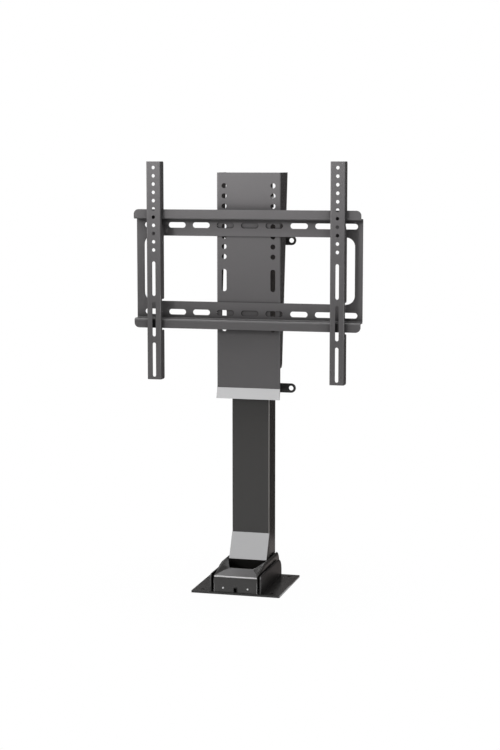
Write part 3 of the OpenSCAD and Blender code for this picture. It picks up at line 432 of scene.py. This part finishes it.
def pan_screw(shank, length, head, height):
    # The rows of a pan head screw from its hexagon socket's floor to its tip: radius, height
    # and flatness.
    key = head * 0.24
    return [(key * 0.2, height * 0.42, 1.0), (key, height * 0.42, 1.0), (key, height * 0.90, 1.0),
            (key + 0.16, height, 0.8), (head * 0.36, height * 0.99, 0.0), (head * 0.43, height * 0.90, 0.0),
            (head * 0.48, height * 0.68, 0.0), (head * 0.5, height * 0.34, 0.0), (head * 0.5, 0.05, 0.0),
            (head * 0.49, 0.0, 0.0), (shank * 0.5, 0.0, 0.0), (shank * 0.5, 0.5 - length, 0.0),
            (shank * 0.36, -length, 0.0)]


both_sides = (-1.0, 1.0)
column_wall_x = box_mm("outer_column")[1].x
column_screw, column_screw_pitch = middle_mm("column_screws"), 24.0
column_spots = [((side * column_wall_x, column_screw.y + end * column_screw_pitch / 2.0, column_screw.z),
                 (side, 0.0, 0.0)) for side in both_sides for end in both_sides]
turned_set("column_screw_set", pan_screw(shank=4.0, length=12.0, head=7.0, height=1.8), column_spots, zinc,
           "base", ("column_screws",))

# Guide collar
# A black moulded acetal ring pressed into the tube's top. It guides the sliding column and
# covers the tube's cut edge.
grain, grain_in, grain_out = new_group("moulded_grain", surface_sockets(
    (0.02, 0.02, 0.02), ("Flow", 0.08), ("Roughness", 0.4), ("Grain scale", 1600.0)))
grain_place = grain.nodes.new("ShaderNodeTexCoord").outputs["Object"]
grain_cells = grain.nodes.new("ShaderNodeTexVoronoi")
grain_cells.feature = "SMOOTH_F1"
grain.links.new(grain_place, grain_cells.inputs["Vector"])
grain.links.new(grain_in["Grain scale"], grain_cells.inputs["Scale"])
vary(grain, grain_in, grain_out, noise(grain, grain_place, 14.0), "Flow")
grain.links.new(grain_cells.outputs["Distance"], grain_out["Height"])

black_plastic = finish_from(grain, "black_moulded_plastic", (0.0066, 0.0062, 0.0060), 0.00003,
                            specular=0.3, Roughness=0.42)
dress("guide_collar", black_plastic, 0.0006, 3)

# Drive cassette
# Motor, gearbox, bearing and their plates hang between four tie rods inside the column's
# foot. They are plated steel, and the gearbox is coated black.
steel = finish_from(plating, "plain_steel", (0.50, 0.50, 0.51), plating_height, metallic=1.0, Roughness=0.36,
                    Spangle_scale=90.0, Spangle=0.05)
dress("tie_rods", zinc, 0.0003)
dress("rod_sleeves", steel, 0.0003)
dress("drive_motor", zinc, 0.0006)
dress("gearbox", black_coat, 0.0003)
dress("motor_plate", zinc, 0.0003)
dress("bearing_plate", zinc, 0.0003)
dress("thrust_bearing", steel, 0.0002)

# Nose cover and its trim
# A black moulded wedge clipped to the column's front above the boot. A strip of satin
# anodised aluminium, drawn lengthwise in fine lines, covers its sloping face.
# The wedge's plastic is lighter than the black moulding: painted light that lifts its shaded underside in the
# well.
nose_plastic_painted_light = finish_from(grain, "nose_plastic_painted_light", (0.070, 0.068, 0.066), 0.00003, specular=0.3,
                           Roughness=0.45)
dress("foot_nose", nose_plastic_painted_light, 0.0003)

drawn, drawn_in, drawn_out = new_group("drawn_aluminium", surface_sockets(
    (0.6, 0.6, 0.61), ("Streak", 0.05), ("Roughness", 0.3), ("Lines", 2400.0)))
drawn_place = drawn.nodes.new("ShaderNodeTexCoord")
drawn_stretch = drawn.nodes.new("ShaderNodeVectorMath")
drawn_stretch.operation = "MULTIPLY"
drawn_stretch.inputs[1].default_value = (0.012, 1.0, 1.0)
drawn.links.new(drawn_place.outputs["Object"], drawn_stretch.inputs[0])
drawn_lines = noise(drawn, drawn_stretch.outputs["Vector"], drawn_in["Lines"], 3.0)
vary(drawn, drawn_in, drawn_out, drawn_lines, "Streak")
drawn.links.new(drawn_lines, drawn_out["Height"])

# A darker copy of the lip trim's aluminium, as painted shade low down by the boot.
foot_strip_shaded = finish_from(drawn, "satin_aluminium_shaded", (0.380, 0.380, 0.384), 0.000005, metallic=1.0,
                         Roughness=0.30)
dress("nose_trim", foot_strip_shaded, 0.0002)

# Boot cover
# One black moulding, held by two screws: a front block whose sloping panel is painted lighter as painted
# light, and two crested arms round a well.
# Its front edges and corners carry a painted highlight, and the well's slopes are matt and darker, as painted
# shade.
boot_black, boot_grain = (0.0335, 0.0324, 0.0314), {"Grain_scale": 2200.0}
boot_plastic = finish_from(grain, "boot_plastic", boot_black, 0.00002, Roughness=0.26, **boot_grain)
# The panel's lighter grey is painted light for its up-facing slope.
boot_panel_lit = finish_from(grain, "boot_panel_painted_light", (0.116, 0.1132, 0.1148), 0.00002, specular=0.3,
                         Roughness=0.38, **boot_grain)
boot_edge_highlight = finish_from(grain, "boot_edge_painted_highlight", (0.60, 0.595, 0.60), 0.00001, Roughness=0.20)
# A darker, matt copy of the boot plastic for the well's slopes: painted shade.
boot_slope_shaded = finish_from(grain, "boot_slope_matt_shaded", (0.024, 0.0233, 0.0226), 0.00002, specular=0.25,
                         Roughness=0.50, **boot_grain)
boot_foot = box_mm("boot_cover")[0].z
boot_front, boot_back, panel_back = box_mm("boot_cover")[0].y, box_mm("boot_cheek_right")[1].y, -42.0
edge_round, outlet_half, outlet_top = 2.1, 3.75, 14.5
panel_low, panel_rise = 36.4, 6.6
panel_half_front, panel_half_back, panel_bow, panel_draft = 43.0, 23.5, 1.25, 0.8
well_half_back, well_run, well_bow, well_draft, well_floor = 39.4, 52.0, 0.85, 0.15, 6.0
well_edge_low, well_edge_rise, well_edge_step = 43.0, 5.6, 0.4
slope_lead, slope_run, slope_strips = 20.0, 22.0, 8
crest_step, crest_run, second_crest_y, crest_strips = 4.6, 34.0, -56.0, 8
crest_half_front, crest_half_back, crest_half_run = 43.3, 42.8, 20.0
arm_half_front, arm_half_back, arm_half_run = 44.0, 46.5, 50.0
shoulder_steep, shoulder_low, tail_run, tail_low = 2.4, 35.0, 9.0, 41.0


def boot_ramp(y, start, run):
    # A smooth rise from 0 to 1 over a run towards the back.
    share = min(1.0, max(0.0, (y - start) / run))
    return share * share * (3.0 - 2.0 * share)


def panel_height(y):
    # Height of the sloping panel, with its rounded front edge.
    height = panel_low + panel_rise * (min(y, panel_back) - boot_front) / (panel_back - boot_front)
    inset = max(0.0, boot_front + edge_round - y)
    return height - edge_round + math.sqrt(max(0.0, edge_round ** 2 - inset * inset))


def crest_height(y):
    # Height of an arm's crest, low beside the panel and full beside the well.
    tail = math.sqrt(max(0.0, 1.0 - (max(0.0, y - boot_back + tail_run) / tail_run) ** 2))
    crest = panel_height(y) + crest_step * (boot_ramp(y, boot_front, crest_run)
                                            + boot_ramp(y, second_crest_y, crest_run))
    return crest if tail == 1.0 else tail_low + (crest - tail_low) * tail


def arm_edge(y):
    # Half width of the panel, and behind it half width and height of the well's edge.
    if y <= panel_back:
        share = ((y - boot_front) / (panel_back - boot_front)) ** panel_bow
        return panel_half_front + (panel_half_back - panel_half_front) * share, panel_height(y)
    reach = min(1.0, (y - panel_back) / well_run)
    return (panel_half_back + (well_half_back - panel_half_back) * reach ** well_bow,
            min(well_edge_low + well_edge_rise * reach, crest_height(y) - well_edge_step))


def arm_section(y):
    # One section of the right arm, from its inner edge over the crest to its outer foot.
    inner, inner_z = arm_edge(y)
    crest_x = crest_half_front
    crest_x += (crest_half_back - crest_half_front) * boot_ramp(y, boot_front, crest_half_run)
    crest_z = crest_height(y)
    outer = arm_half_front
    outer += (arm_half_back - arm_half_front) * boot_ramp(y, boot_front, arm_half_run)
    points = []
    for i in range(slope_strips + 1):
        share = i / slope_strips
        swell = (1.0 - math.cos(math.pi * share)) / 2.0
        swell += (share - swell) * boot_ramp(y, panel_back - slope_lead, slope_run)
        points.append((inner + (crest_x - inner) * share, inner_z + (crest_z - inner_z) * swell))
    drop = min(shoulder_steep * (outer - crest_x), crest_z - shoulder_low)
    for i in range(1, crest_strips + 1):
        turn = math.radians(90.0 * i / crest_strips)
        points.append((crest_x + (outer - crest_x) * math.sin(turn), crest_z - drop * (1.0 - math.cos(turn))))
    return points + [((outer + arm_half_front) / 2.0, outlet_top), (arm_half_front, boot_foot)]


boot = bmesh.new()
edge_turns = (0.0, 18.0, 36.0, 54.0, 72.0, 90.0)
front_rows = [boot_front + edge_round * (1.0 - math.cos(math.radians(turn))) for turn in edge_turns]
front_rows += [-81.0, -78.0, -74.0, -70.0, -65.0, -60.0, -55.0, -50.0, -46.0, panel_back]
tail_start = boot_back - tail_run
arm_rows = [panel_back + (tail_start - panel_back) * i / 28.0 for i in range(1, 29)]
arm_rows += [tail_start + tail_run * math.sin(math.radians(turn)) for turn in (15, 30, 45, 58, 70, 80, 88)]
panel_share = (0.0, 0.16, 0.40, 0.70)
panel_end = len(panel_share)
crest_end = panel_end + slope_strips
top_end = crest_end + crest_strips
edge_strips = len(edge_turns) - 1
# Each half runs from the boot's middle line to its outer foot, and the two are joined after.
for side in both_sides:
    rows = []
    for y in front_rows:
        section = arm_section(y)
        flat = [(section[0][0] * share, panel_height(y)) for share in panel_share]
        flat[1] = (outlet_half, panel_height(y))
        rows.append([boot.verts.new((side * x * 0.001, y * 0.001, z * 0.001)) for x, z in flat + section])
    low = [[boot.verts.new((rows[0][i].co.x, boot_front * 0.001, z * 0.001))
            for i in (*range(crest_end + 1), top_end)] for z in (boot_foot, outlet_top)]
    for i in range(crest_end + 1):
        if i > 0:
            boot.faces.new((low[0][i], low[0][i + 1], low[1][i + 1], low[1][i]))
        if i < crest_end:
            boot.faces.new((low[1][i], low[1][i + 1], rows[0][i + 1], rows[0][i]))
    boot.faces.new(low[1][crest_end:] + rows[0][top_end:crest_end - 1:-1])
    for k in range(len(rows) - 1):
        for i in range(len(rows[0]) - 1):
            face = boot.faces.new((rows[k][i], rows[k][i + 1], rows[k + 1][i + 1], rows[k + 1][i]))
            # Painted highlight on the panel's rounded front edge.
            if k < edge_strips and i < crest_end:
                face.material_index = 2
            # The sloping panel takes the lighter grey of painted light.
            elif k >= edge_strips and i < panel_end:
                face.material_index = 1
    panel_edge = rows[-1][:panel_end + 1]
    panel_foot = [boot.verts.new((vert.co.x, vert.co.y + panel_draft * 0.001, well_floor * 0.001))
                  for vert in panel_edge]
    for i in range(panel_end):
        boot.faces.new((panel_edge[i], panel_edge[i + 1], panel_foot[i + 1], panel_foot[i]))
    last, last_foot = rows[-1][panel_end:], panel_foot[-1]
    for y in arm_rows:
        section = arm_section(y)
        ring = [boot.verts.new((side * x * 0.001, y * 0.001, z * 0.001)) for x, z in section]
        foot = boot.verts.new((side * (section[0][0] + well_draft) * 0.001, y * 0.001, well_floor * 0.001))
        for i in range(len(ring) - 1):
            face = boot.faces.new((last[i], last[i + 1], ring[i + 1], ring[i]))
            # The well's slopes take the darker finish of painted shade.
            if i < slope_strips - 1:
                face.material_index = 3
        boot.faces.new((last[0], ring[0], foot, last_foot))
        last, last_foot = ring, foot
    boot.faces.new(last + [last_foot])
bmesh.ops.remove_doubles(boot, verts=boot.verts, dist=0.00001)
# Only the two upright front corners are rounded by the bevel.
weight = boot.edges.layers.float.new("bevel_weight_edge")
corner_x, corner_y, near_enough = arm_half_front * 0.001, boot_front * 0.001, 0.000002
for edge in boot.edges:
    if all(abs(abs(vert.co.x) - corner_x) < near_enough and abs(vert.co.y - corner_y) < near_enough
           for vert in edge.verts):
        edge[weight] = 1.0
boot_skin = settle("boot_moulding", boot, boot_plastic, "base", ("boot_cover",), 38.0)
for finish in (boot_panel_lit, boot_edge_highlight, boot_slope_shaded):
    boot_skin.data.materials.append(finish)
corner_edges = boot_skin.modifiers.new("corner_edges", "BEVEL")
corner_edges.width = 0.0008
corner_edges.use_clamp_overlap = False
corner_edges.segments = 3
corner_edges.limit_method = "WEIGHT"
# The bevelled front corners take the painted highlight too.
corner_edges.material = 2

# Boot cheeks
# Two black moulded side plates with rounded edges; their front rim is painted lighter, with a painted
# highlight on its upper part. Each stands a few millimetres off the boot cover, on a small foot that two
# screws hold.
cheek_low, cheek_high = box_mm("boot_cheek_right")
cheek_inner, cheek_edge_round, cheek_front_round, cheek_back_round = cheek_high.x - 2.6, 2.0, 6.0, 25.0
foot_front, foot_back, foot_high = -80.0, 64.0, 3.0
rim_x, rim_y, rim_middle = cheek_inner + 0.1, cheek_low.y + 2.2, 25.0


def cheek_ring(x, inset):
    front, back, top = cheek_low.y + inset, cheek_high.y - inset, cheek_high.z
    points = [Vector((x, front, cheek_low.z))]
    for start, end, middle_y, radius in (
            (180.0, 90.0, cheek_low.y + cheek_front_round, cheek_front_round),
            (90.0, 0.0, cheek_high.y - cheek_back_round, cheek_back_round)):
        for i in range(17):
            turn = math.radians(start + (end - start) * i / 16.0)
            points.append(Vector((x, middle_y + (radius - inset) * math.cos(turn),
                                  top - radius + (radius - inset) * math.sin(turn))))
    return points + [Vector((x, back, cheek_low.z))]


cheek_rim_highlight = finish_from(grain, "cheek_rim_painted_highlight", (0.14, 0.138, 0.14), 0.00001, Roughness=0.22)
cheek_rings = [cheek_ring(cheek_inner, 0.3), cheek_ring(cheek_inner + 0.1, 0.05),
               cheek_ring(cheek_inner + 0.3, 0.0)]
for step in (0.0, 15.0, 30.0, 45.0, 60.0, 75.0, 90.0):
    turn = math.radians(step)
    cheek_rings.append(cheek_ring(cheek_high.x - cheek_edge_round * (1.0 - math.sin(turn)),
                                  cheek_edge_round * (1.0 - math.cos(turn))))
foot_rings = [[Vector((x, y, z)) for x, y in ((cheek_low.x, foot_front), (cheek_inner + 0.2, foot_front),
                                              (cheek_inner + 0.2, foot_back), (cheek_low.x, foot_back))]
              for z in (cheek_low.z, cheek_low.z + foot_high)]
for side, word in zip(both_sides, ("left", "right")):
    cheek = bmesh.new()
    for rings in (cheek_rings, foot_rings):
        skin_rings(cheek, [[Vector((side * point.x, point.y, point.z)) for point in ring] for ring in rings])
    moulding = settle("cheek_moulding_" + word, cheek, black_plastic, "base",
                      ("boot_cheek_" + word,))
    moulding.data.materials.append(boot_plastic)
    moulding.data.materials.append(cheek_rim_highlight)
    for face in moulding.data.polygons:
        place = face.center * 1000.0
        # The front rim is painted lighter as painted light, and its upper part carries a painted highlight.
        if place.y < rim_y and abs(place.x) > rim_x:
            face.material_index = 2 if place.z > rim_middle else 1

# Boot screws and tabs
# Two steel tabs welded to the floor plate hold the boot by two small socket screws. Four
# more hold the cheeks' feet.
dress("boot_tabs", zinc, 0.0002)
boot_screw_x = 25.0
boot_spots = [((side * boot_screw_x, boot_front, middle_mm("boot_screws").z), (0.0, -1.0, 0.0))
              for side in both_sides]
turned_set("boot_screw_pair", pan_screw(shank=3.0, length=5.5, head=4.0, height=1.2), boot_spots, zinc,
           "base", ("boot_screws",))
dress("cheek_screws", zinc, 0.0001)

# Cable grommet, control box and circuit board
# The mains lead leaves through a black grommet. The control box behind the boot's front is
# moulded plastic, and its board stands on feet inside it.
dress("cable_grommet", black_plastic, 0.0003)
dress("control_box", black_plastic, 0.0006)
board_lacquer = finish_from(coat, "board_lacquer", (0.015, 0.09, 0.045), 0.00002, Roughness=0.35)
dress("circuit_board", board_lacquer, 0.0001)

# Wall straps
# Two flat steel straps with an eye at each end, screwed across the column's back with flat
# head screws, in the black coat.
dress("strap_upper", black_coat, 0.0004)
dress("strap_lower", black_coat, 0.0004)


def flat_screw(shank, length, sink):
    head = shank * 0.5 + sink
    key = shank * 0.30
    return [(key * 0.2, -sink * 0.75, 1.0), (key, -sink * 0.75, 1.0), (key, -0.12, 1.0),
            (key + 0.12, 0.0, 0.8), (head - 0.15, 0.0, 0.0), (head, -0.12, 0.0), (shank * 0.5, -sink, 0.0),
            (shank * 0.5, 0.5 - length, 0.0), (shank * 0.36, -length, 0.0)]


strap_screw_x, strap_back = 23.4, box_mm("strap_upper")[1].y
strap_spots = [((side * strap_screw_x, strap_back, middle_mm(strap).z), (0.0, 1.0, 0.0))
               for side in both_sides for strap in ("strap_upper", "strap_lower")]
turned_set("strap_screw_set", flat_screw(shank=5.0, length=5.0, sink=2.0), strap_spots, zinc,
           "base", ("strap_screws",))

# Sliding column, its cap and the head bracket
# A slimmer tube in the graphite coat slides out of the fixed one. A folded bracket, bolted
# through its ears to the tube's top, carries the mount plate on two rows of weld.
graphite_coat = finish_from(coat, "graphite_powder_coat", (0.112, 0.1080, 0.1105), peel_height,
                            Roughness=0.24)
dress("inner_column", graphite_coat, 0.0002)
dress("column_cap", black_plastic, 0.0006, 3)
dress("head_bracket", black_coat, 0.0004)


def hex_bolt(shank, length, across, height, washer):
    return [(across * 0.10, height * 0.93, 0.0), (across * 0.38, height * 0.93, 0.0),
            (across * 0.40, height, 0.0), (across * 0.46, height, 0.0), (across * 0.50, height * 0.86, 0.9),
            (across * 0.505, height * 0.8, 1.0), (across * 0.505, washer + 0.1, 1.0),
            (across * 0.47, washer, 0.0), (across * 0.60, washer, 0.0), (across * 0.62, washer * 0.7, 0.0),
            (across * 0.62, 0.05, 0.0), (shank * 0.5, 0.0, 0.0), (shank * 0.5, 0.5 - length, 0.0),
            (shank * 0.36, -length, 0.0)]


bracket_low, bracket_high = box_mm("head_bracket")
head_bolt, head_bolt_pitch = middle_mm("head_bolts"), 13.44
head_spots = [((side * bracket_high.x, head_bolt.y + end * head_bolt_pitch / 2.0, head_bolt.z),
               (side, 0.0, 0.0)) for side in both_sides for end in both_sides]
turned_set("head_bolt_set", hex_bolt(shank=8.0, length=7.0, across=14.4, height=4.0, washer=0.8), head_spots,
           zinc, "lift", ("head_bolts",))

seam_x, seam_y = bracket_high.x - 0.4, bracket_low.y - 0.3
seam_margin, seam_pitch, seam_length, seam_swell, seam_rings = 4.0, 19.0, 12.0, 2.6, 28
weld_seam = bmesh.new()
for side in both_sides:
    for count in range(3):
        rings = []
        for i in range(seam_rings + 1):
            height = bracket_low.z + seam_margin + seam_pitch * count + seam_length * i / seam_rings
            ripple = 0.86 + 0.14 * abs(math.sin(math.pi * i / 4.0))
            swell = seam_swell * ripple * min(1.0, 0.35 + min(i, seam_rings - i) / 4.0)
            rings.append([Vector((side * (seam_x + swell * math.cos(turn)), seam_y + swell * math.sin(turn),
                                  height)) for turn in [math.radians(17.5 * k - 20.0) for k in range(9)]])
        skin_rings(weld_seam, rings)
settle("bracket_weld", weld_seam, black_coat, "lift")

# Mount plate and its lip trim
# A folded 3 mm steel plate with tapering side flanges, two columns of holes and two pairs of
# slots. Its flared bottom edge carries a satin aluminium strip.
dress("mount_plate", graphite_coat, 0.0004)
lip_strip = finish_from(drawn, "satin_aluminium", (0.475, 0.475, 0.480), 0.000005, metallic=1.0,
                        Roughness=0.30)
dress("lip_trim", lip_strip, 0.0002)

# Rail frame and its studs
# One folded sheet: an upper and a lower slotted rail with hooked rims, joined by upright
# sides round a window. Four studs behind it take flange nuts at the mount plate's back.
dress("rail_frame", graphite_coat, 0.0004)
stud, stud_pitch_x, stud_pitch_z = middle_mm("rail_studs"), 50.0, 174.0
stud_spots = [((stud.x + side * stud_pitch_x / 2.0, bracket_low.y, stud.z - level * stud_pitch_z / 2.0),
               (0.0, 1.0, 0.0)) for side in both_sides for level in both_sides]
stud_nut = [(2.0, 5.5, 0.0), (2.3, 5.4, 0.0), (2.5, 5.1, 0.0), (2.5, 3.9, 0.0), (2.9, 4.0, 0.0),
            (3.9, 4.0, 0.0), (4.4, 3.6, 0.9), (4.5, 3.4, 1.0), (4.5, 1.3, 1.0), (4.9, 1.1, 0.0),
            (5.4, 0.7, 0.0), (5.4, 0.05, 0.0), (2.5, 0.0, 0.0), (2.5, -3.0, 0.0)]
turned_set("stud_nut_set", stud_nut, stud_spots, zinc, "lift", ("rail_studs",))

# Glide, drive nut and their screws
# The sliding column's lower end runs on a black acetal glide and holds the bronze nut. Four
# zinc plated screws pass through glide, tube and nut.
bronze = finish_from(plating, "machined_bronze", (0.55, 0.36, 0.16), plating_height, metallic=1.0,
                     Roughness=0.33, Spangle=0.04, Spangle_scale=500.0)
dress("lower_glide", black_plastic, 0.0004)
dress("drive_nut", bronze, 0.0004)
dress("nut_screws", zinc, 0.0001)

# Screen arms
# Two folded channels hook over the upper rim. A zinc plated latch in each closes under the
# lower rim, held by two painted flat head screws.
for word in ("left", "right"):
    dress("arm_" + word, graphite_coat, 0.0002)
    dress("arm_lock_" + word, zinc, 0.0004)
    dress("lock_screws_" + word, graphite_coat, 0.0001)

# Lead screw and the pieces that turn with it
# The gear shaft drives the lead screw through a black coupling. A plastic guide steadies the
# screw's top inside the sliding column.
dress("lead_screw", steel, 0.0003)
dress("gear_shaft", steel, 0.0003)
dress("shaft_coupling", black_coat, 0.0004)
dress("screw_guide", black_plastic, 0.0005)
